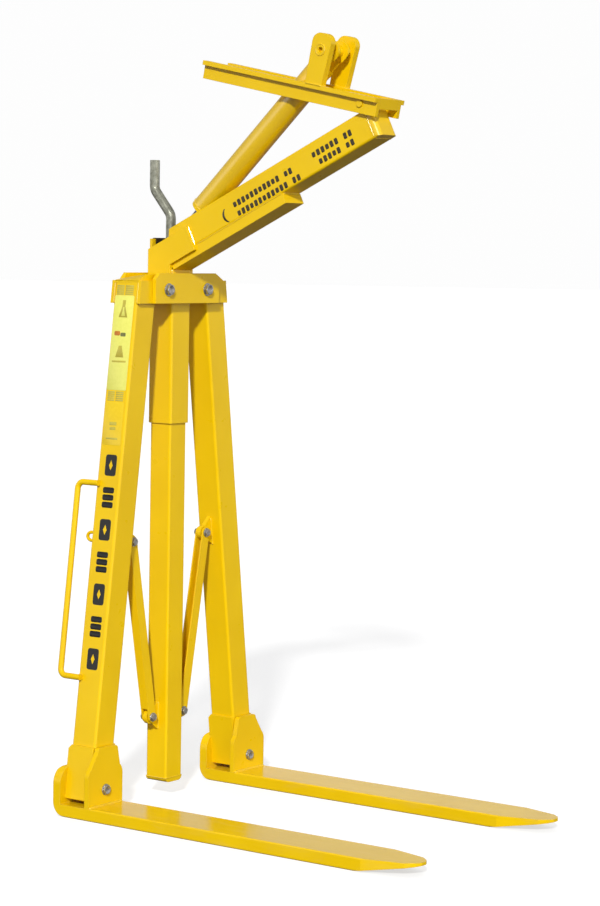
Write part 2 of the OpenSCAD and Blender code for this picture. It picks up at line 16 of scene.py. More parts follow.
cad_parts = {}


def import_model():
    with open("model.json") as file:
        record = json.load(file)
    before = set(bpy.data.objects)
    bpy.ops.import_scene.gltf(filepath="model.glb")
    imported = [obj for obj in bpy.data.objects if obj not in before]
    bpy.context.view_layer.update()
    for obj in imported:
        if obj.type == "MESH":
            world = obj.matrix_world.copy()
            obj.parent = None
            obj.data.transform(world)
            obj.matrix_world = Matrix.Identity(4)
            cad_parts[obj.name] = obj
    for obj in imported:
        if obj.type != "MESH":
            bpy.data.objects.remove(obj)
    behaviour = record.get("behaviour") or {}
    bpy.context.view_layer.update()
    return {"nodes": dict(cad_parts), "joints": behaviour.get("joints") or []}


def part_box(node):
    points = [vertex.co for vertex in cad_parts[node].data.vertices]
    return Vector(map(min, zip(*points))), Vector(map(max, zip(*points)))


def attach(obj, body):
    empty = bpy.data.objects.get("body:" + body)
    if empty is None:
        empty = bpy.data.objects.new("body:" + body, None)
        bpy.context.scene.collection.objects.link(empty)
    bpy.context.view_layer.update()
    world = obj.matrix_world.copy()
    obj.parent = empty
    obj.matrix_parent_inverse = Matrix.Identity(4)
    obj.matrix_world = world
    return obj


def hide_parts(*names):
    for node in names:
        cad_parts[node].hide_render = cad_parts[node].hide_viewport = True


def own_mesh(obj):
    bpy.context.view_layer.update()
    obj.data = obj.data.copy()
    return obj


def mm(value):
    """Millimetres as metres."""
    return value / 1000


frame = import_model()
nodes = frame["nodes"]
places = {j["name"]: Vector(j["pos_m"]) for j in frame["joints"] if "pos_m" in j}
random.seed(7)

SIDES = ("left", "right")

# ---- driving sizes and angles, as in the CAD ----
SPLAY = math.radians(7.3)
BOOM_SLOPE = math.radians(26)
LEVER_SLOPE = math.radians(11.2)
# Half the side of the square tube that the legs, the mast and the boom share.
HALF_TUBE = mm(40)
# Across a leg, in its own frame: the middle of its tube and the tube's two sides.
LEG_OFFSET = mm(62)
LEG_INNER, LEG_OUTER = LEG_OFFSET - HALF_TUBE, LEG_OFFSET + HALF_TUBE
TINE_THICK = mm(34)
PIN_RADIUS = mm(14)
STRUT_RADIUS = mm(33)
# Along the boom: where its cheeks and its stiffener end, and where its end cap begins.
CHEEK_END, STIFFENER_END, CAP_SEAM = mm(109), mm(428), mm(748)
# The chain eye: half the distance between its legs, and the radius of its bar.
EYE_HALF, EYE_BAR = mm(11), mm(4.5)

# ---- places, from the frame's joints and boxes ----
HEAD_BOLT = places["leg_left_swing"]
TINE_BOLT = places["tine_left_hinge"]
BRACE_BOLT = places["brace_left_hinge"]
LEVER_HINGE = places["lever_swing"]
LIFT_PIN = places["strut_top_hinge"]
STRUT_FOOT = places["strut_foot_hinge"]
MAST_X = HEAD_BOLT.x
HEAD_LOW, HEAD_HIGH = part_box("head_plate_front")
BOOM_FOOT = Vector((MAST_X, 0, HEAD_BOLT.z + mm(108)))
STRUT_SLOPE = math.atan2(LIFT_PIN.z - STRUT_FOOT.z, LIFT_PIN.x - STRUT_FOOT.x)
STRUT_LEN = (LIFT_PIN - STRUT_FOOT).length

# Faces that bolts and welds lie on, along X from the mast's axis.
HEAD_FACE = HEAD_HIGH.x - MAST_X
BAR_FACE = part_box("brace_bar_left")[1].x - MAST_X
LUG_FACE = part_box("tine_lug_left")[1].x - MAST_X
HEEL_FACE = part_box("tine_left")[0].x - MAST_X
BRACE_LUG_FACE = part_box("brace_lug_left")[1].x - MAST_X

# Each sub-part's own frame, and two places in them.
MAST_FRAME = Matrix.Translation((MAST_X, 0, 0))
BOOM_FRAME = Matrix.Translation(BOOM_FOOT) @ Matrix.Rotation(-BOOM_SLOPE, 4, "Y")
LEVER_FRAME = Matrix.Translation(LEVER_HINGE) @ Matrix.Rotation(LEVER_SLOPE, 4, "Y")
STRUT_FRAME = Matrix.Translation(STRUT_FOOT) @ Matrix.Rotation(-STRUT_SLOPE, 4, "Y")
HINGE_IN_BOOM = BOOM_FRAME.inverted() @ LEVER_HINGE
PIN_IN_LEVER = LEVER_FRAME.inverted() @ LIFT_PIN


def on_side(side, matrix):
    """The left-hand frame, or its mirror image for the right side."""
    if side == "left":
        return matrix
    return Matrix.Scale(-1, 4, (0, 1, 0)) @ matrix


def leg_frame(side):
    """A leg's own frame: its origin on the head bolt, its Z axis along the leg."""
    left = Matrix.Translation(HEAD_BOLT) @ Matrix.Rotation(SPLAY, 4, "X")
    return on_side(side, left)


def leg_z(height, y):
    """Place along a leg, in the leg's own frame, where its face at y reaches a height."""
    return (height - HEAD_BOLT.z - y * math.sin(SPLAY)) / math.cos(SPLAY)


def foot_frame(side):
    """The frame at the foot of a leg: on the floor, under the tine's bolt."""
    left = Matrix.Translation((MAST_X, TINE_BOLT.y, 0))
    return on_side(side, left)


# ---- materials ----
def srgb(red, green, blue):
    """A colour given as 0 to 255 in sRGB, as the linear RGBA that shaders take."""

    def linear(value):
        value /= 255
        return value / 12.92 if value <= 0.04045 else ((value + 0.055) / 1.055) ** 2.4

    return (linear(red), linear(green), linear(blue), 1)


class Shader:
    """A material with one Principled shader and short calls to wire procedural nodes."""

    def __init__(self, name, **sockets):
        self.material = bpy.data.materials.new(name)
        self.material.use_nodes = True
        self.tree = self.material.node_tree
        self.principled = self.tree.nodes["Principled BSDF"]
        self.place = self.node("ShaderNodeTexCoord").outputs["Object"]
        for key, value in sockets.items():
            self.principled.inputs[key.replace("_", " ")].default_value = value

    def node(self, kind, **settings):
        """A new node of a kind, with its settings."""
        made = self.tree.nodes.new(kind)
        for key, value in settings.items():
            setattr(made, key, value)
        return made

    def link(self, output, target):
        self.tree.links.new(output, target)

    def noise(self, scale, detail=3, roughness=0.5, stretch=None):
        """Noise in the object's own metres, drawn out along the axes where stretch is given."""
        made = self.node("ShaderNodeTexNoise")
        made.inputs["Scale"].default_value = scale
        made.inputs["Detail"].default_value = detail
        made.inputs["Roughness"].default_value = roughness
        source = self.place
        if stretch:
            mapping = self.node("ShaderNodeMapping")
            mapping.inputs["Scale"].default_value = stretch
            self.link(self.place, mapping.inputs["Vector"])
            source = mapping.outputs["Vector"]
        self.link(source, made.inputs["Vector"])
        return made.outputs["Fac"]

    def ramp(self, value, stops):
        """Colours at places between 0 and 1, blended by value."""
        made = self.node("ShaderNodeValToRGB")
        elements = made.color_ramp.elements
        while len(elements) < len(stops):
            elements.new(0.5)
        for element, (position, colour) in zip(elements, stops):
            element.position = position
            element.color = colour
        self.link(value, made.inputs["Fac"])
        return made.outputs["Color"]

    def span(self, value, low, high, from_low=0.3, from_high=0.7):
        """value, carried over from one range of numbers to another."""
        made = self.node("ShaderNodeMapRange")
        made.inputs["From Min"].default_value = from_low
        made.inputs["From Max"].default_value = from_high
        made.inputs["To Min"].default_value = low
        made.inputs["To Max"].default_value = high
        self.link(value, made.inputs["Value"])
        return made.outputs["Result"]

    def mix(self, factor, first, second):
        """Two colours, each a socket or a plain colour, blended by factor."""
        made = self.node("ShaderNodeMix", data_type="RGBA")
        for value, socket in ((factor, "Factor"), (first, "A"), (second, "B")):
            target = [s for s in made.inputs if s.name == socket and s.enabled][0]
            if isinstance(value, tuple):
                target.default_value = value
            else:
                self.link(value, target)
        return [s for s in made.outputs if s.enabled][0]

    def combine(self, operation, first, second):
        """Two numbers, the second a socket or a plain number, put together by an operation."""
        made = self.node("ShaderNodeMath", operation=operation)
        for value, target in zip((first, second), made.inputs):
            if isinstance(value, (float, int)):
                target.default_value = value
            else:
                self.link(value, target)
        return made.outputs["Value"]

    def edge(self, radius):
        """1 where the surface turns within radius of an edge, 0 on flat faces."""
        rounded = self.node("ShaderNodeBevel", samples=6)
        rounded.inputs["Radius"].default_value = radius
        facing = self.node("ShaderNodeVectorMath", operation="DOT_PRODUCT")
        self.link(rounded.outputs["Normal"], facing.inputs[0])
        self.link(self.node("ShaderNodeNewGeometry").outputs["Normal"], facing.inputs[1])
        return self.span(facing.outputs["Value"], 1, 0, 0.75, 0.995)

    def surface(self, bumps, bevel=0.0):
        """Layers bumps (height output, distance, strength) over a rounded-edge normal."""
        normal = None
        if bevel:
            rounded = self.node("ShaderNodeBevel", samples=6)
            rounded.inputs["Radius"].default_value = bevel
            normal = rounded.outputs["Normal"]
        for height, distance, strength in bumps:
            bump = self.node("ShaderNodeBump")
            bump.inputs["Distance"].default_value = distance
            bump.inputs["Strength"].default_value = strength
            self.link(height, bump.inputs["Height"])
            if normal:
                self.link(normal, bump.inputs["Normal"])
            normal = bump.outputs["Normal"]
        self.link(normal, self.principled.inputs["Normal"])

    def feed(self, **outputs):
        """Wires outputs to the shader's own sockets, named by keyword."""
        for key, output in outputs.items():
            self.link(output, self.principled.inputs[key.replace("_", " ")])


GOLD = [(0.3, srgb(225, 184, 2)), (0.7, srgb(233, 193, 5))]


def enamel(name, scuffs, coat=0.14, coat_rough=0.18, coat_ior=1.5):
    """Glossy golden enamel, sprayed over steel; scuffs from 0 to 1 rub it along edges."""
    gloss = {"Coat_Weight": coat, "Coat_Roughness": coat_rough, "Coat_IOR": coat_ior}
    shader = Shader(name, Specular_IOR_Level=0.25, **gloss)
    cloud = shader.noise(5, 4)
    grain = shader.noise(160, 3, 0.6)
    base = shader.ramp(cloud, GOLD)
    rubbed = shader.combine("MULTIPLY", shader.edge(mm(2.2)), shader.span(grain, 0, 1, 0.42, 0.62))
    rubbed = shader.combine("MULTIPLY", rubbed, scuffs)
    colour = shader.mix(rubbed, base, srgb(196, 152, 70))
    rough = shader.span(shader.noise(22, 5, 0.65), 0.26, 0.42)
    peel = shader.noise(420, 2)
    wave = shader.noise(28, 2)
    shader.feed(Base_Color=colour, Roughness=rough)
    shader.surface([(wave, mm(0.5), 0.25), (peel, mm(0.05), 0.5)], bevel=mm(1.6))
    return shader.material


def tine_enamel():
    """The same enamel on the tines, where pallets rub the top and the wedge to a pale sheen."""
    shader = Shader("tine_enamel", Coat_Weight=0.2, Coat_Roughness=0.1, Specular_IOR_Level=0.32)
    cloud = shader.noise(5, 4)
    base = shader.ramp(cloud, GOLD)
    drag = shader.noise(7, 4, 0.6, stretch=(1, 5, 5))
    rubbed = shader.span(drag, 0, 0.22, 0.52, 0.74)
    edges = shader.combine("MULTIPLY", shader.edge(mm(2.5)), 0.4)
    worn = shader.combine("MAXIMUM", rubbed, edges)
    colour = shader.mix(worn, base, srgb(214, 178, 92))
    rough = shader.span(drag, 0.13, 0.26, 0.35, 0.7)
    shader.feed(Base_Color=colour, Roughness=rough)
    scratch = shader.noise(60, 4, 0.7, stretch=(0.15, 6, 6))
    shader.surface([(shader.noise(24, 2), mm(0.6), 0.3), (scratch, mm(0.06), 0.5)], bevel=mm(1.6))
    return shader.material


def zinc():
    """Zinc plate on bolts: mottled grey metal with a fine grain."""
    shader = Shader("zinc_plate", Metallic=0.85)
    spangle = shader.noise(260, 3, 0.6)
    colour = shader.ramp(spangle, [(0.3, srgb(146, 146, 148)), (0.7, srgb(198, 196, 194))])
    rough = shader.span(shader.noise(90, 3), 0.25, 0.45)
    shader.feed(Base_Color=colour, Roughness=rough)
    shader.surface([(spangle, mm(0.04), 0.5)], bevel=mm(0.6))
    return shader.material


def turned_steel():
    """Turned bright steel with fine tool marks, a little oiled."""
    shader = Shader("turned_steel", Metallic=1.0)
    marks = shader.noise(500, 2, stretch=(1, 0.1, 0.1))
    colour = shader.ramp(marks, [(0.3, srgb(160, 160, 157)), (0.7, srgb(186, 185, 180))])
    shader.feed(Base_Color=colour, Roughness=shader.span(marks, 0.18, 0.34))
    shader.surface([(marks, mm(0.012), 0.3)], bevel=mm(0.8))
    return shader.material


def crank_zinc():
    """Dull zinc over a forged bar: grey, with darker rubs and a hammered skin."""
    shader = Shader("crank_zinc", Metallic=0.6)
    blotch = shader.noise(70, 5, 0.6)
    colour = shader.ramp(blotch, [(0.3, srgb(122, 123, 110)), (0.7, srgb(180, 181, 166))])
    shader.feed(Base_Color=colour, Roughness=shader.span(blotch, 0.5, 0.3))
    shader.surface([(blotch, mm(0.25), 0.4)], bevel=mm(0.8))
    return shader.material


def spring_black():
    """Black oiled spring wire."""
    shader = Shader("spring_black", Metallic=0.6)
    film = shader.noise(140, 4)
    colour = shader.ramp(film, [(0.3, srgb(30, 30, 32)), (0.7, srgb(66, 66, 68))])
    shader.feed(Base_Color=colour, Roughness=shader.span(film, 0.3, 0.5))
    shader.surface([(film, mm(0.05), 0.4)])
    return shader.material


def shade_dark_rubber():
    """Matt brown-black rubber with a fine moulded grain; its dark brown also serves as painted shade
    behind the crank.
    """
    shader = Shader("dark_rubber_painted_shade", Specular_IOR_Level=0.3)
    grain = shader.noise(180, 4, 0.6)
    # Dark brown: the rubber's own colour, and also painted shade where the strip sits behind the
    # crank.
    colour = shader.ramp(grain, [(0.3, srgb(34, 27, 16)), (0.7, srgb(56, 45, 28))])
    shader.feed(Base_Color=colour, Roughness=shader.span(grain, 0.55, 0.75))
    shader.surface([(grain, mm(0.1), 0.4)])
    return shader.material


def print_ink(name, low, high, rough=0.4):
    """A printed film: nearly even colour with a faint mottle and a satin face."""
    shader = Shader(name, Coat_Weight=0.4, Coat_Roughness=0.1)
    mottle = shader.noise(120, 4, 0.6)
    shader.feed(
        Base_Color=shader.ramp(mottle, [(0.3, low), (0.7, high)]),
        Roughness=shader.span(mottle, rough - 0.06, rough + 0.08),
    )
    shader.surface([(shader.noise(300, 2), mm(0.02), 0.3)])
    return shader.material


finish = {
    "frame_paint": enamel("frame_enamel", 0.45),
    "tine_paint": tine_enamel(),
    "zinc_hardware": zinc(),
    "bright_steel": turned_steel(),
    "crank_steel": crank_zinc(),
    "spring_steel": spring_black(),
}

# Thicker and glossier coats: over the weld beads, on the strut's tube and on the boom's end cap.
weld_paint = enamel("weld_enamel", 0.2, coat=0.9, coat_rough=0.22, coat_ior=1.9)
lacquer = enamel("lacquered_enamel", 0.3, coat=1.0, coat_rough=0.26, coat_ior=2.2)
satin = enamel("satin_enamel", 0.3, coat=0.7, coat_rough=0.42, coat_ior=1.8)
special = {"strut_tube": lacquer, "boom_end_cap": satin}

ink_black = print_ink("ink_black", srgb(10, 12, 12), srgb(22, 23, 22), 0.5)
ink_grey = print_ink("ink_grey", srgb(96, 98, 52), srgb(120, 122, 70))
ink_olive = print_ink("ink_olive", srgb(180, 165, 60), srgb(194, 179, 72))
ink_brown = print_ink("ink_brown", srgb(44, 36, 18), srgb(62, 52, 28))
ink_orange = print_ink("ink_orange", srgb(178, 104, 30), srgb(196, 122, 40))
film_lime = print_ink("film_lime", srgb(224, 222, 100), srgb(231, 228, 114), 0.35)
film_pale = print_ink("film_pale", srgb(225, 189, 24), srgb(231, 197, 34), 0.35)

# Each CAD node comes with a material that is named after its slot.
for name, thing in nodes.items():
    for material_slot in thing.material_slots:
        slot = material_slot.material.name.split(".")[0]
        material_slot.material = special.get(name, finish[slot])


# ---- mesh helpers ----
def mesh_object(name, mesh, materials):
    """A mesh as an object in the scene, with its materials."""
    data = bpy.data.meshes.new(name)
    mesh.to_mesh(data)
    mesh.free()
    thing = bpy.data.objects.new(name, data)
    bpy.context.scene.collection.objects.link(thing)
    for material in materials:
        data.materials.append(material)
    return thing


def piece(name, mesh, body, slot=None, materials=None, replaces=()):
    """A piece that rides on a body, in its slot's finish or in materials of its own."""
    bmesh.ops.recalc_face_normals(mesh, faces=mesh.faces)
    thing = mesh_object(name, mesh, materials or [finish[slot]])
    thing.data.shade_smooth()
    thing.data.set_sharp_from_angle(angle=math.radians(38))
    if replaces:
        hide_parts(*replaces)
    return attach(thing, body)


def bridge(mesh, rings, closed=False, material=0):
    """Skins a list of equal rings of points with quads; ends are capped, or joined when closed."""
    made = [[mesh.verts.new(point) for point in ring] for ring in rings]
    count = len(made[0])
    pairs = list(zip(made, made[1:]))
    faces = []
    if closed:
        pairs.append((made[-1], made[0]))
    for low, high in pairs:
        for k in range(count):
            n = (k + 1) % count
            faces.append(mesh.faces.new((low[k], low[n], high[n], high[k])))
    if not closed:
        faces += [mesh.faces.new(ring) for ring in (made[0], made[-1])]
    for face in faces:
        face.material_index = material


def turn(count):
    """The angles of one full turn in equal steps."""
    return [math.tau * k / count for k in range(count)]


def turned_point(matrix, x, radius, angle):
    """The point at a radius and an angle round the X axis of a frame."""
    return matrix @ Vector((x, radius * math.cos(angle), radius * math.sin(angle)))


def round_body(mesh, matrix, profile, count=40):
    """A turned shape along X from (x, radius) pairs."""
    bridge(mesh, [[turned_point(matrix, x, radius, a) for a in turn(count)] for x, radius in profile])


def swept_rod(mesh, path, radius, count=20):
    """A round bar along a smooth path of points."""
    rings = []
    for i, point in enumerate(path):
        along = (path[min(i + 1, len(path) - 1)] - path[max(i - 1, 0)]).normalized()
        side = along.cross(Vector((0, 1, 0))).normalized()
        up = side.cross(along)
        rings.append([point + radius * (math.cos(a) * side + math.sin(a) * up) for a in turn(count)])
    bridge(mesh, rings)


# ---- fasteners ----
# Bolt sizes: shank radius, radius to the hexagon's corners, head height, washer radius, pitch.
M20 = {"shank": mm(10), "corner": mm(15.2), "tall": mm(11), "washer": mm(17.5), "pitch": mm(2.5)}
M20_LOW = {"shank": mm(10), "corner": mm(13.6), "tall": mm(8.5), "washer": mm(15), "pitch": mm(2.5)}
M12 = {"shank": mm(6), "corner": mm(10.4), "tall": mm(8), "washer": mm(12.5), "pitch": mm(1.75)}
WASHER_THICK = mm(2.4)


def hex_radius(angle, corner):
    """Distance from the centre to the side of a hexagon with this corner radius."""
    apothem = corner * math.cos(math.radians(30))
    return apothem / math.cos((angle % math.radians(60)) - math.radians(30))


def hex_body(mesh, matrix, corner, x0, x1, chamfer_both):
    """A hexagonal head or nut along X with turned chamfers on its corners."""
    flat = corner * 0.84
    fall = math.tan(math.radians(30))
    angles = turn(48)

    def disc(x, part):
        """A round ring, its radius given as part of the flat face's."""
        return [turned_point(matrix, x, flat * part, a) for a in angles]

    def hexagon(x, drop):
        """A six-sided ring, moved along X by drop times how far it stands outside the flat face."""
        sides = [(a, hex_radius(a, corner)) for a in angles]
        return [turned_point(matrix, x + drop * (r - flat), r, a) for a, r in sides]

    rings = [disc(x0, 0.7), disc(x0, 1), hexagon(x0, fall if chamfer_both else 0)]
    rings += [hexagon(x1, -fall), disc(x1, 1), disc(x1, 0.86), disc(x1 - mm(0.5), 0.8)]
    bridge(mesh, rings)


def thread(mesh, matrix, radius, x0, x1, pitch):
    """A cut thread along X, run out to a chamfer at x0."""
    count = 30
    steps_a_pitch = 8
    steps = max(4, round((x1 - x0) / pitch * steps_a_pitch))
    depth = 0.55 * pitch
    rings = []
    for i in range(steps + 1):
        x = x0 + (x1 - x0) * i / steps
        chamfer = radius - depth + (x - x0)
        ring = []
        for k, a in enumerate(turn(count)):
            phase = (x / pitch + k / count) % 1
            cut = depth * (1 - abs(2 * phase - 1))
            ring.append(turned_point(matrix, x, min(radius - cut, chamfer), a))
        rings.append(ring)
    bridge(mesh, rings)


def washer(mesh, matrix, inner, outer, x0, x1):
    """A flat washer with eased rims."""
    ease = mm(0.4)
    low_rim = [(x0, inner), (x0, outer - ease), (x0 + ease, outer)]
    high_rim = [(x1 - ease, outer), (x1, outer - ease), (x1, inner)]
    round_body(mesh, matrix, low_rim + high_rim)


def bolt(name, body, lines, size, head, nut, tip, replaces):
    """A set of bolts along X as one mesh, each with head, two washers, nut and threaded end.

    head is the place along X of the head's foot, nut that of the nut's outer and inner faces,
    and tip that of the threaded end.
    """
    mesh = bmesh.new()
    shank, corner, rim = size["shank"], size["corner"], size["washer"]
    core, threaded = shank - mm(0.1), mm(9)
    for matrix in lines:
        hex_body(mesh, matrix, corner, head, head + size["tall"], chamfer_both=False)
        washer(mesh, matrix, shank, rim, head - mm(0.2), head + WASHER_THICK)
        round_body(mesh, matrix, [(tip + threaded - mm(1), core), (head, core)])
        thread(mesh, matrix, shank, tip, tip + threaded, size["pitch"])
        hex_body(mesh, matrix, corner, nut[0], nut[1], chamfer_both=True)
        washer(mesh, matrix, shank, rim, nut[1] - WASHER_THICK, nut[1])
    piece(name, mesh, body, "zinc_hardware", replaces=replaces)


def x_line(place, side):
    """A frame whose X axis is a bolt's centre line through place, on one side."""
    return on_side(side, Matrix.Translation((MAST_X, place.y, place.z)))


def side_bolts(side):
    """The bolts of one leg: through the tine's hinge, and at the two ends of the brace."""
    bolt(
        f"tine_bolt_set_{side}", f"fork_{side}", [x_line(TINE_BOLT, side)], M20_LOW,
        head=LUG_FACE, nut=(HEEL_FACE - mm(14), HEEL_FACE), tip=HEEL_FACE - mm(20),
        replaces=[f"tine_bolt_{side}", f"tine_nut_{side}"],
    )
    gap, nut_tall, tip = mm(0.5), mm(9), -mm(24)
    bolt(
        f"brace_bolt_set_{side}", f"leg_{side}", [x_line(BRACE_BOLT, side)], M12,
        head=BAR_FACE + gap, nut=(-BAR_FACE - nut_tall - gap, -BAR_FACE - gap), tip=tip,
        replaces=[f"brace_bolt_{side}"],
    )
    pin_low, pin_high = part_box(f"brace_pin_{side}")
    pin_place = (pin_low + pin_high) / 2
    pin_place.y = abs(pin_place.y)
    bolt(
        f"brace_pin_set_{side}", f"brace_{side}", [x_line(pin_place, side)], M12,
        head=BAR_FACE, nut=(-BAR_FACE - nut_tall, -BAR_FACE), tip=tip,
        replaces=[f"brace_pin_{side}"],
    )


bolt(
    "head_bolt_set", "root", [x_line(HEAD_BOLT, side) for side in SIDES], M20,
    head=HEAD_FACE, nut=(-HEAD_FACE - mm(16), -HEAD_FACE), tip=-HEAD_FACE - mm(22),
    replaces=["head_bolts", "head_nuts"],
)
for side in SIDES:
    side_bolts(side)


# ---- pin, chain eye, spring, and edge guard that is also painted shade ----
def lifting_pin():
    """The painted pin along Y in the lifting lugs, with eased rims and a deep bore in each end."""
    mesh = bmesh.new()
    matrix = Matrix.Translation(LIFT_PIN) @ Matrix.Rotation(math.radians(90), 4, "Z")
    half, bore = mm(66), mm(6.5)
    deep, lip, ease = mm(12), mm(1), mm(1.5)
    end = [(half - deep, bore), (half - lip, bore), (half, bore + lip)]
    end += [(half, PIN_RADIUS - ease), (half - ease, PIN_RADIUS)]
    profile = [(-x, r) for x, r in end] + end[::-1]
    round_body(mesh, matrix, profile, 56)
    piece("lifting_pin_turned", mesh, "lever", "frame_paint", replaces=["lifting_pin"])


def chain_staple():
    """A bent-bar eye welded to the back of the right leg, in the chain peg's place."""
    mesh = bmesh.new()
    low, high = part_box("chain_peg")
    middle = (low + high) / 2
    reach, half, stretch = mm(30), EYE_HALF, 1.25

    def leg_of(steps, up):
        """Points of one straight leg, at steps of a sixth of the reach behind the tube's wall."""
        return [Vector((high.x - reach * t / 6, middle.y, middle.z + up)) for t in steps]

    bend = []
    for i in range(17):
        a = math.radians(90 + 180 * i / 16)
        x = high.x - reach + half + half * math.cos(a) * stretch
        bend.append(Vector((x, middle.y, middle.z + half * math.sin(a))))
    path = leg_of(range(4), half) + bend + leg_of(range(3, -1, -1), -half)
    swept_rod(mesh, path, EYE_BAR)
    piece("chain_staple", mesh, "leg_right", "frame_paint", replaces=["chain_peg"])


def coil_spring():
    """The strut's spring, with a closed coil at each end, on a mesh of its own."""
    mesh = bmesh.new()
    foot, head = mm(94), mm(530)
    coil, wire = mm(20.5), mm(4)
    turns, steps_a_turn = 18, 26
    closed_pitch = mm(8.4)
    open_pitch = (head - foot - 2 * closed_pitch) / (turns - 2)
    rings = []
    for i in range(turns * steps_a_turn + 1):
        turned = i / steps_a_turn
        x = foot + closed_pitch * (min(turned, 1) + max(turned - turns + 1, 0))
        x += open_pitch * min(max(turned - 1, 0), turns - 2)
        angle = math.tau * turned
        ring = []
        for a in turn(10):
            radius = coil + wire * math.cos(a)
            ring.append(turned_point(STRUT_FRAME, x + wire * math.sin(a), radius, angle))
        rings.append(ring)
    bridge(mesh, rings)
    made = piece("coil_spring", mesh, "strut_inner", "spring_steel", replaces=["strut_spring"])
    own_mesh(made)


def shade_edge_guard():
    """A ribbed rubber strip over the top edge of the plate behind the crank; its dark brown also
    serves as painted shade in the box there.
    """
    mesh = bmesh.new()
    low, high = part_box("boom_back_plate")
    wall, deep, half, gap = mm(2.5), mm(15), mm(25), mm(0.1)
    foot, top = high.z - deep, high.z
    shoulder = top + wall * 0.4
    section = [
        (low.x - wall, foot), (low.x - wall, shoulder), (low.x, top + wall),
        (high.x, top + wall), (high.x + wall, shoulder), (high.x + wall, foot),
        (high.x + gap, foot), (high.x + gap, top + gap), (low.x - gap, top + gap), (low.x - gap, foot),
    ]
    middle = (low.x + high.x) / 2
    steps, steps_a_rib, swelling = 40, 4, 0.03
    rings = []
    for i in range(steps + 1):
        y = -half + 2 * half * i / steps
        swell = 1 + swelling * math.cos(math.tau * i / steps_a_rib)
        ring = []
        for x, z in section:
            outside = x < low.x - 2 * gap or x > high.x + 2 * gap
            ring.append((middle + (x - middle) * (swell if outside else 1), y, z))
        rings.append(ring)
    bridge(mesh, rings)
    # The dark strip is also painted shade, placed where the box behind the crank lies in shade.
    piece("shade_edge_guard", mesh, "root", materials=[shade_dark_rubber()])


lifting_pin()
chain_staple()
coil_spring()
shade_edge_guard()


# ---- plates on the legs ----
def foot_shoes(side):
    """Doubling plates on the two flat sides of a leg's foot, up to the height of the tine's lug."""
    mesh = bmesh.new()
    matrix = leg_frame(side)
    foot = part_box(f"leg_tube_{side}")[0].z
    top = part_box(f"tine_lug_{side}")[1].z
    thick, ease = mm(5), mm(1.2)
    rear, front, cut = -mm(47), mm(39), mm(10)
    for face, out in ((LEG_INNER, -thick), (LEG_OUTER, thick)):
        low_z = leg_z(foot, face) + mm(1)
        high_z = leg_z(top, face)
        outline = [(rear, low_z), (front, low_z), (front, high_z)]
        outline += [(rear + cut, high_z), (rear, high_z - cut)]
        middle = Vector(((rear + front) / 2, 0, (low_z + high_z) / 2))
        rings = []
        for inset, step in ((0, 0), (0, 0.75), (ease, 1)):
            ring = []
            for x, z in outline:
                toward = Vector((middle.x - x, 0, middle.z - z)).normalized() * inset
                ring.append(matrix @ Vector((x + toward.x, face + out * step, z + toward.z)))
            rings.append(ring)
        bridge(mesh, rings)
    piece(f"foot_shoe_{side}", mesh, f"leg_{side}", "frame_paint")


def leg_lid(side):
    """A sloped cover on top of a leg, low at the rear and high behind the front head plate."""
    mesh = bmesh.new()
    matrix = leg_frame(side)
    base = HEAD_BOLT.z + mm(22)
    low_rise, rise = mm(7), mm(12)
    ease, shoulder, rim = mm(2), mm(26), mm(3)
    steps = 8
    rings = []
    for i in range(steps + 1):
        x = -HALF_TUBE + 2 * HALF_TUBE * i / steps
        top = base + low_rise + rise * i / steps
        corners = [(LEG_INNER, base), (LEG_INNER, top - ease), (LEG_INNER + ease, top)]
        corners += [(LEG_OUTER - shoulder, top), (LEG_OUTER, base + rim), (LEG_OUTER, base)]
        rings.append([matrix @ Vector((x, y, leg_z(z, y))) for y, z in corners])
    bridge(mesh, rings)
    piece(f"leg_lid_{side}", mesh, f"leg_{side}", "frame_paint")


for side in SIDES:
    foot_shoes(side)
    leg_lid(side)


# ---- weld beads ----
def resample(points, step, closed):
    """Points along a polyline, about one step apart."""
    path = [Vector(p) for p in points]
    if closed:
        path.append(path[0])
    out = []
    for start, end in zip(path, path[1:]):
        count = max(1, round((end - start).length / step))
        out += [start.lerp(end, i / count) for i in range(count)]
    if not closed:
        out.append(path[-1])
    return out


def bead(mesh, matrix, points, radius, closed=False):
    """A weld bead along a path: a half-buried round with the ripples of each puddle."""
    path = resample(points, mm(1.5), closed)
    slant = Vector((0.31, 0.53, 0.79))
    ripple = mm(3.4)
    total = len(path)
    wander = random.uniform(0, 6)
    walked = 0.0
    rings = []
    for i, point in enumerate(path):
        before = path[i - 1] if i or closed else path[0]
        after = path[(i + 1) % total] if i + 1 < total or closed else path[-1]
        along = (after - before).normalized()
        side = along.cross(slant).normalized()
        up = side.cross(along)
        walked += (point - before).length
        phase = (walked / ripple) % 1
        size = radius * (0.88 + 0.14 * phase + 0.07 * math.sin(walked * 190 + wander))
        if not closed:
            size *= min(1, 0.45 + 0.3 * min(i, total - 1 - i))
        ring = [point + size * (math.cos(a) * side + math.sin(a) * up) for a in turn(8)]
        rings.append([matrix @ place for place in ring])
    bridge(mesh, rings, closed=closed)


def weld(name, body, runs):
    """One painted mesh of all the weld runs on a body."""
    mesh = bmesh.new()
    for matrix, points, radius, closed in runs:
        bead(mesh, matrix, points, radius, closed)
    piece(name, mesh, body, "frame_paint", [weld_paint])


def rectangle(x, y, z):
    """The rectangle round the Z axis at height z that reaches x and y to each side."""
    return [(-x, -y, z), (x, -y, z), (x, y, z), (-x, y, z)]


def circle(centre, radius, axis, count):
    """A circle round the X or the Y axis."""
    points = []
    for a in turn(count):
        c, s = radius * math.cos(a), radius * math.sin(a)
        points.append(Vector(centre) + Vector((0, c, s) if axis == "X" else (s, 0, c)))
    return points


# Half the length of the weld along each side of a brace lug.
LUG_WELD = mm(38)


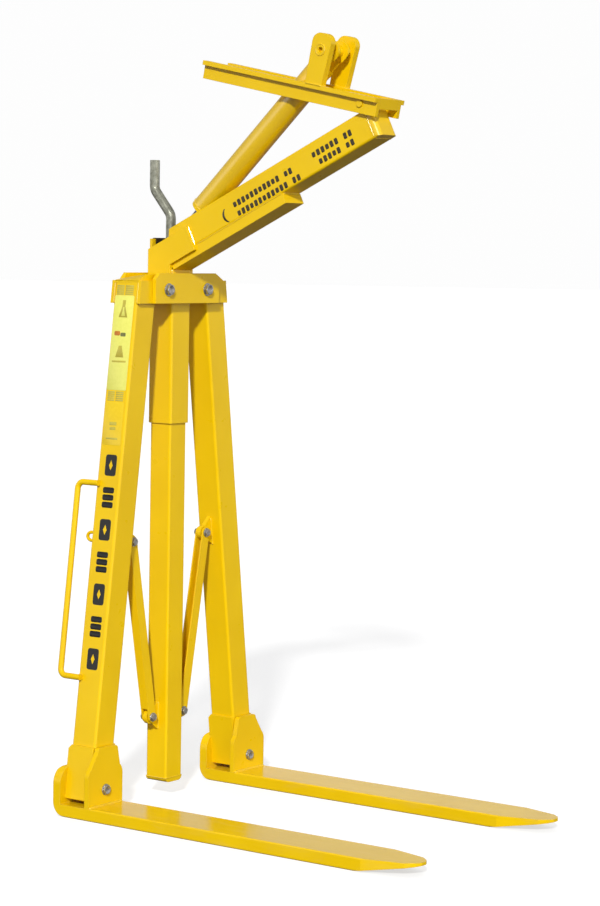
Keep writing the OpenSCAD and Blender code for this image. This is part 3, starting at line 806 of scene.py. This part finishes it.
# Each run of weld is its frame, the points of its path, the bead's radius, and whether it is closed.
def root_welds():
    """The mast's edges, the boom's cheeks, stiffener, end cap and bush, and the screw's plate."""
    half = HALF_TUBE
    low, top = HEAD_LOW.z + mm(6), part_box("mast_tube")[1].z
    edge, across, flat = half - mm(2), half - mm(4), half - mm(6)
    rise, fall = mm(16), mm(42)
    seam_start, seam_end = CHEEK_END + mm(3), STIFFENER_END - mm(2)
    for y in (half, -half):
        for x in (edge, -edge):
            yield MAST_FRAME, [(x, y, low), (x, y, top)], mm(3), False
        cheek = [(0, y, rise), (CHEEK_END, y, rise), (CHEEK_END, y, -fall)]
        yield BOOM_FRAME, cheek, mm(3.2), False
        seam = y * 0.975
        yield BOOM_FRAME, [(seam_start, seam, -half), (seam_end, seam, -half)], mm(2.2), False
    stop = [(STIFFENER_END, -across, -half), (STIFFENER_END, across, -half)]
    yield BOOM_FRAME, stop, mm(3.5), False
    corners = ((-half, -flat), (-half, flat), (-flat, half), (flat, half))
    corners += ((half, flat), (half, -flat), (flat, -half), (-flat, -half))
    yield BOOM_FRAME, [(CAP_SEAM, y, z) for y, z in corners], mm(1.3), True
    bush_low, bush_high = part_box("lever_bush")
    for along in (-mm(12), mm(12)):
        x = HINGE_IN_BOOM.x + along
        ends = [(x, bush_low.y + mm(4), half), (x, bush_high.y - mm(4), half)]
        yield BOOM_FRAME, ends, mm(3.5), False
    plate_low, plate_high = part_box("bearing_plate")
    outline = rectangle(plate_high.x - MAST_X, plate_high.y, plate_low.z)
    yield MAST_FRAME, outline, mm(3), True


def mast_welds():
    """The brace lugs on the inner tube, and the plug in its lower end."""
    lug_low, lug_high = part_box("tube_lugs")
    middle = (lug_low.z + lug_high.z) / 2
    tube_low, tube_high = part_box("inner_tube")
    for y in (tube_high.y, -tube_high.y):
        for x in (BRACE_LUG_FACE, -BRACE_LUG_FACE):
            yield MAST_FRAME, [(x, y, middle - LUG_WELD), (x, y, middle + LUG_WELD)], mm(3), False
    rim = tube_high.y - mm(1)
    yield MAST_FRAME, rectangle(rim, rim, tube_low.z), mm(2), True


def lever_welds():
    """The lifting lugs on the rails, the front plate, and a ring round each end of the pin."""
    top = mm(23.5)
    pin = PIN_IN_LEVER
    rear, front = pin.x - mm(30), pin.x + mm(22)
    inner, outer = mm(45), mm(65)
    for y0, y1 in ((inner, outer), (-outer, -inner)):
        for y in (y0, y1):
            yield LEVER_FRAME, [(rear, y, top), (front, y, top)], mm(3), False
        for x in (rear, front):
            yield LEVER_FRAME, [(x, y0, top), (x, y1, top)], mm(3), False
    plate, plate_half = mm(45), mm(42)
    for y in (plate_half, -plate_half):
        yield LEVER_FRAME, [(plate, y, -mm(3)), (plate, y, mm(22))], mm(3), False
    for y in (outer, -outer):
        yield LEVER_FRAME, circle((pin.x, y, pin.z), PIN_RADIUS, "Y", 36), mm(2.2), True


def strut_welds():
    """The fork on the upper end of the strut's tube, and the rims at both ends."""
    head, foot = STRUT_LEN - mm(52), mm(88)
    for y in (mm(27), -mm(27)):
        yield STRUT_FRAME, [(head, y, -mm(15)), (head, y, mm(15))], mm(2.6), False
    for x in (head - mm(10), foot):
        yield STRUT_FRAME, circle((x, 0, 0), STRUT_RADIUS, "X", 48), mm(1.6), True


def leg_welds(side):
    """The leg's top bracket and brace lug; on the right leg also the handle and the chain eye."""
    matrix = leg_frame(side)
    inner_foot, outer_foot = leg_z(HEAD_LOW.z, LEG_INNER), leg_z(HEAD_LOW.z, LEG_OUTER)
    edge, edge_top = LEG_OUTER - mm(1), leg_z(HEAD_LOW.z + mm(46), LEG_INNER)
    for x in (HALF_TUBE, -HALF_TUBE):
        foot = [(x, LEG_INNER + mm(5), inner_foot), (x, LEG_OUTER - mm(5), outer_foot)]
        yield matrix, foot, mm(3.2), False
        yield matrix, [(x, edge, outer_foot), (x, edge, edge_top)], mm(2.6), False
    lug = leg_z(BRACE_BOLT.z, LEG_INNER)
    for x in (BRACE_LUG_FACE, -BRACE_LUG_FACE):
        ends = [(x, LEG_INNER, lug - LUG_WELD), (x, LEG_INNER, lug + LUG_WELD)]
        yield matrix, ends, mm(3), False
    if side == "right":
        yield from handle_welds(matrix)
        yield from staple_welds(matrix)


def handle_welds(matrix):
    """A bead above and below each end of the carrying handle."""
    rear, long, bar = -HALF_TUBE + mm(1), mm(12), mm(6.5)
    upper_end, lower_end = -mm(533), -mm(1051)
    for end in (upper_end, lower_end):
        for z in (end + bar, end - bar):
            yield matrix, [(rear, LEG_OUTER, z), (rear + long, LEG_OUTER, z)], mm(2.8), False


def staple_welds(matrix):
    """A ring round each leg of the chain eye."""
    peg_low, peg_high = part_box("chain_peg")
    peg = matrix.inverted() @ ((peg_low + peg_high) / 2)
    for z in (peg.z + EYE_HALF, peg.z - EYE_HALF):
        yield matrix, circle((-HALF_TUBE, peg.y, z), EYE_BAR, "X", 16), mm(1.8), True


def fork_welds(side):
    """The lug on the tine, along its front foot."""
    across, front = mm(67), LUG_FACE + mm(1)
    ends = [(front, -across, TINE_THICK), (front, across, TINE_THICK)]
    yield foot_frame(side), ends, mm(4.5), False


weld("weld_root", "root", root_welds())
weld("weld_inner_mast", "inner_mast", mast_welds())
weld("weld_lever", "lever", lever_welds())
weld("weld_strut", "strut_outer", strut_welds())
for side in SIDES:
    weld(f"weld_leg_{side}", f"leg_{side}", leg_welds(side))
    weld(f"weld_fork_{side}", f"fork_{side}", fork_welds(side))


# ---- printed marks ----
def rounded(width, height, radius, steps=5):
    """A rounded rectangle round the origin as (across, up) points."""
    points = []
    corners = ((1, 1, 0), (-1, 1, 90), (-1, -1, 180), (1, -1, 270))
    for sx, sy, start in corners:
        cx, cy = sx * (width / 2 - radius), sy * (height / 2 - radius)
        for i in range(steps + 1):
            a = math.radians(start + 90 * i / steps)
            points.append((cx + radius * math.cos(a), cy + radius * math.sin(a)))
    return points


def film(mesh, place, outline, centre, thick, material=0, lift=0.0):
    """A thin printed film: an outline in the (across, up) plane of a face, a hair proud of it."""
    rings = []
    ease = thick * 0.8
    for inset, out in ((0, 0), (0, thick - ease * 0.5), (ease, thick)):
        ring = []
        for across, up in outline:
            shrink = 1 - inset / math.hypot(across, up)
            ring.append(place(centre[0] + across * shrink, centre[1] + up * shrink, lift + out))
        rings.append(ring)
    bridge(mesh, rings, material=material)


def leg_face(x, z, out):
    """A point on the outer face of the right leg."""
    return leg_frame("right") @ Vector((x, LEG_OUTER + out, z))


def boom_face(s, n, out):
    """A point on the right-hand side of the boom."""
    return BOOM_FRAME @ Vector((s, -HALF_TUBE - out, n))


def plain_labels():
    """Plain labels on the right leg: fine rows, simple shapes and no lettering."""
    mesh = bmesh.new()
    lime, pale, olive, orange, grey = range(5)
    centre = -mm(2)

    def sign(outline, z, material, x=centre, height=mm(0.22), thick=mm(0.08)):
        """A flat printed shape that lies on a label."""
        film(mesh, leg_face, outline, (x, z), thick, material, lift=height)

    film(mesh, leg_face, rounded(mm(66), mm(254), mm(4)), (centre, -mm(156)), mm(0.25), lime)
    film(mesh, leg_face, rounded(mm(62), mm(116), mm(4)), (centre, -mm(372)), mm(0.12), pale)
    # Two blocks of fine rows, in millimetres: the height of the first row, and the rows' length.
    row_tall, row_pitch = 4.2, 5.4
    for top, long in ((-4, 60), (-288, 56)):
        for i in range(5):
            for x, width in ((-long * 0.27, long * 0.42), (long * 0.24, long * 0.46)):
                row = rounded(mm(width), mm(row_tall), mm(1))
                sign(row, mm(top - row_pitch * i), olive, centre + mm(x), mm(0.02), mm(0.1))
    flask = [(-mm(15), -mm(24)), (mm(15), -mm(24)), (mm(5), mm(6))]
    flask += [(mm(6), mm(22)), (-mm(5), mm(22)), (-mm(5), mm(6))]
    sign(flask, -mm(64), olive)
    sign([(x * 0.45, z * 0.5) for x, z in flask], -mm(72), lime, height=mm(0.3))
    sign(rounded(mm(20), mm(12), mm(4)), -mm(131), orange, -mm(16))
    sign(rounded(mm(18), mm(10), mm(3)), -mm(134), grey, mm(4), mm(0.21))
    sign([(-mm(14), -mm(15)), (mm(14), -mm(15)), (mm(5), mm(16)), (-mm(5), mm(16))], -mm(180), olive)
    sign(rounded(mm(48), mm(5), mm(1.5)), -mm(206), olive)
    for z, long, tall in ((-372, 24, 9), (-385, 20, 8), (-412, 40, 5)):
        sign(rounded(mm(long), mm(tall), mm(2)), mm(z), olive, height=mm(0.1))
    films = [film_lime, film_pale, ink_olive, ink_orange, ink_grey]
    piece("plain_labels", mesh, "leg_right", materials=films)


def ray_box(angle, width, height, radius):
    """Distance from the middle of a rounded rectangle to its rim along an angle."""
    tiny = 1e-6
    c, s = abs(math.cos(angle)), abs(math.sin(angle))
    flat = min(width / 2 / max(c, tiny), height / 2 / max(s, tiny))
    corner_x, corner_y = width / 2 - radius, height / 2 - radius
    if flat * c > corner_x and flat * s > corner_y:
        along = corner_x * c + corner_y * s
        off = corner_x**2 + corner_y**2 - radius**2
        flat = along + math.sqrt(max(0, along**2 - off))
    return flat


def holed_block(mesh, centre, width, height):
    """A bold printed block with a diamond-shaped opening."""
    half_hole, half_hole_tall = width * 0.17, height * 0.24
    edge, thick = mm(0.1), mm(0.2)
    rings = []
    for a in turn(48):
        c, s = math.cos(a), math.sin(a)
        outer = ray_box(a, width, height, mm(7))
        inner = 1 / (abs(c) / half_hole + abs(s) / half_hole_tall)
        profile = ((outer, 0), (outer - edge, thick), (inner, thick), (inner, 0))
        rings.append([leg_face(centre[0] + r * c, centre[1] + r * s, out) for r, out in profile])
    bridge(mesh, rings, closed=True)


def block_marks():
    """Seven bold printed blocks down the leg: holed blocks and stacks of three bars."""
    mesh = bmesh.new()
    x, first, pitch = mm(4), -mm(483), mm(86)
    width, bar_pitch = mm(38), mm(19.5)
    for i in range(7):
        z = first - i * pitch
        if i % 2 == 0:
            holed_block(mesh, (x, z), width, mm(57))
            continue
        for up in (bar_pitch, 0, -bar_pitch):
            film(mesh, leg_face, rounded(width, mm(16), mm(5)), (x, z + up), mm(0.2))
    piece("block_marks", mesh, "leg_right", materials=[ink_black])


def dash_rows():
    """Rows of small printed blocks along the boom, and one curved rule before them."""
    mesh = bmesh.new()
    # Each row in millimetres along and up the boom's side: start, end, height, number of places.
    rows = [(268, 482, 1, 14), (272, 500, -26, 15), (552, 692, 6, 9), (566, 690, -19, 8)]
    for start, end, up, count in rows:
        pitch = (end - start) / count
        gap = count - 3
        for i in range(count):
            if i == gap:
                continue
            tall = 17 if i % 3 else 14
            block = rounded(mm(pitch * 0.7), mm(tall), mm(3))
            film(mesh, boom_face, block, (mm(start + pitch * (i + 0.5)), mm(up)), mm(0.2))
    sweep = [math.radians(130 + 100 * i / 12) for i in range(13)]
    outer, inner, tall = mm(33), mm(26), mm(25)
    rule = [(outer * math.cos(a), tall * math.sin(a)) for a in sweep]
    rule += [(inner * math.cos(a), tall * math.sin(a)) for a in sweep[::-1]]
    film(mesh, boom_face, rule, (mm(258), -mm(14)), mm(0.15))
    piece("dash_rows", mesh, "root", materials=[ink_brown])


plain_labels()
block_marks()
dash_rows()


# ---- stage ----
KEY_WAY = (0.59, -1, 0.65)
KEY_COLOUR = (1, 1, 0.97)


def floor():
    """A plain pale floor that runs far past the view."""
    shader = Shader("pale_floor", Roughness=0.9, Emission_Strength=0.62)
    shader.principled.inputs["Emission Color"].default_value = (1, 1, 1, 1)
    tone = shader.noise(0.4, 2)
    colour = shader.ramp(tone, [(0.3, srgb(178, 178, 180)), (0.7, srgb(181, 181, 182))])
    shader.feed(Base_Color=colour)
    mesh = bmesh.new()
    bmesh.ops.create_grid(mesh, x_segments=4, y_segments=4, size=120)
    thing = mesh_object("floor", mesh, [shader.material])
    thing.visible_diffuse = False
    thing.visible_glossy = False


def sun(name, way, strength, softness, colour=(1, 1, 1), glints=True):
    """A distant lamp: way points to it, softness is its width in degrees.

    A lamp without glints lights the paint but isn't mirrored in it.
    """
    data = bpy.data.lights.new(name, "SUN")
    data.energy = strength
    data.angle = math.radians(softness)
    data.color = colour
    lamp = bpy.data.objects.new(name, data)
    lamp.rotation_mode = "QUATERNION"
    lamp.rotation_quaternion = Vector(way).to_track_quat("Z", "Y")
    lamp.visible_glossy = glints
    bpy.context.scene.collection.objects.link(lamp)


def world():
    """A studio surround: a white band round the horizon, dimmer above and dark below the floor."""
    made = bpy.data.worlds.new("surround")
    made.use_nodes = True
    tree = made.node_tree
    place = tree.nodes.new("ShaderNodeTexCoord")
    split = tree.nodes.new("ShaderNodeSeparateXYZ")
    height = tree.nodes.new("ShaderNodeMapRange")
    ramp = tree.nodes.new("ShaderNodeValToRGB")
    height.inputs["From Min"].default_value = -1
    tree.links.new(place.outputs["Generated"], split.inputs["Vector"])
    tree.links.new(split.outputs["Z"], height.inputs["Value"])
    tree.links.new(height.outputs["Result"], ramp.inputs["Fac"])
    bands = [(0.0, 0.09), (0.46, 0.11), (0.475, 0.985), (0.56, 0.985), (0.66, 0.2), (1.0, 0.24)]
    elements = ramp.color_ramp.elements
    while len(elements) < len(bands):
        elements.new(0.5)
    for element, (position, level) in zip(elements, bands):
        element.position = position
        element.color = (level, level, level, 1)
    tree.links.new(ramp.outputs["Color"], tree.nodes["Background"].inputs["Color"])
    bpy.context.scene.world = made


def camera():
    """The main view: a long lens from the front right, a little above the middle."""
    yaw, pitch, roll = math.radians(35.78), math.radians(4.532), math.radians(0.982)
    place = Vector((MAST_X + 4.464, -5.577, 1.520))
    data = bpy.data.cameras.new("camera")
    data.sensor_width = 36
    data.lens = 104.1
    data.clip_end = 100
    thing = bpy.data.objects.new("camera", data)
    aim = Matrix.Rotation(yaw, 4, "Z") @ Matrix.Rotation(math.pi / 2 - pitch, 4, "X")
    thing.matrix_world = Matrix.Translation(place) @ aim @ Matrix.Rotation(roll, 4, "Z")
    bpy.context.scene.collection.objects.link(thing)
    bpy.context.scene.camera = thing


floor()
sun("key", KEY_WAY, 1.4, 4, KEY_COLOUR)
sun("key_matte", KEY_WAY, 1.8, 4, KEY_COLOUR, glints=False)
sun("fill", (1, -0.1, 0.25), 0.75, 50)
sun("top", (-0.2, 0.1, 1), 0.35, 40)
sun("rear", (-0.75, 0.75, 0.2), 1.3, 50, glints=False)
world()
camera()
bpy.context.scene.view_settings.view_transform = "Standard"
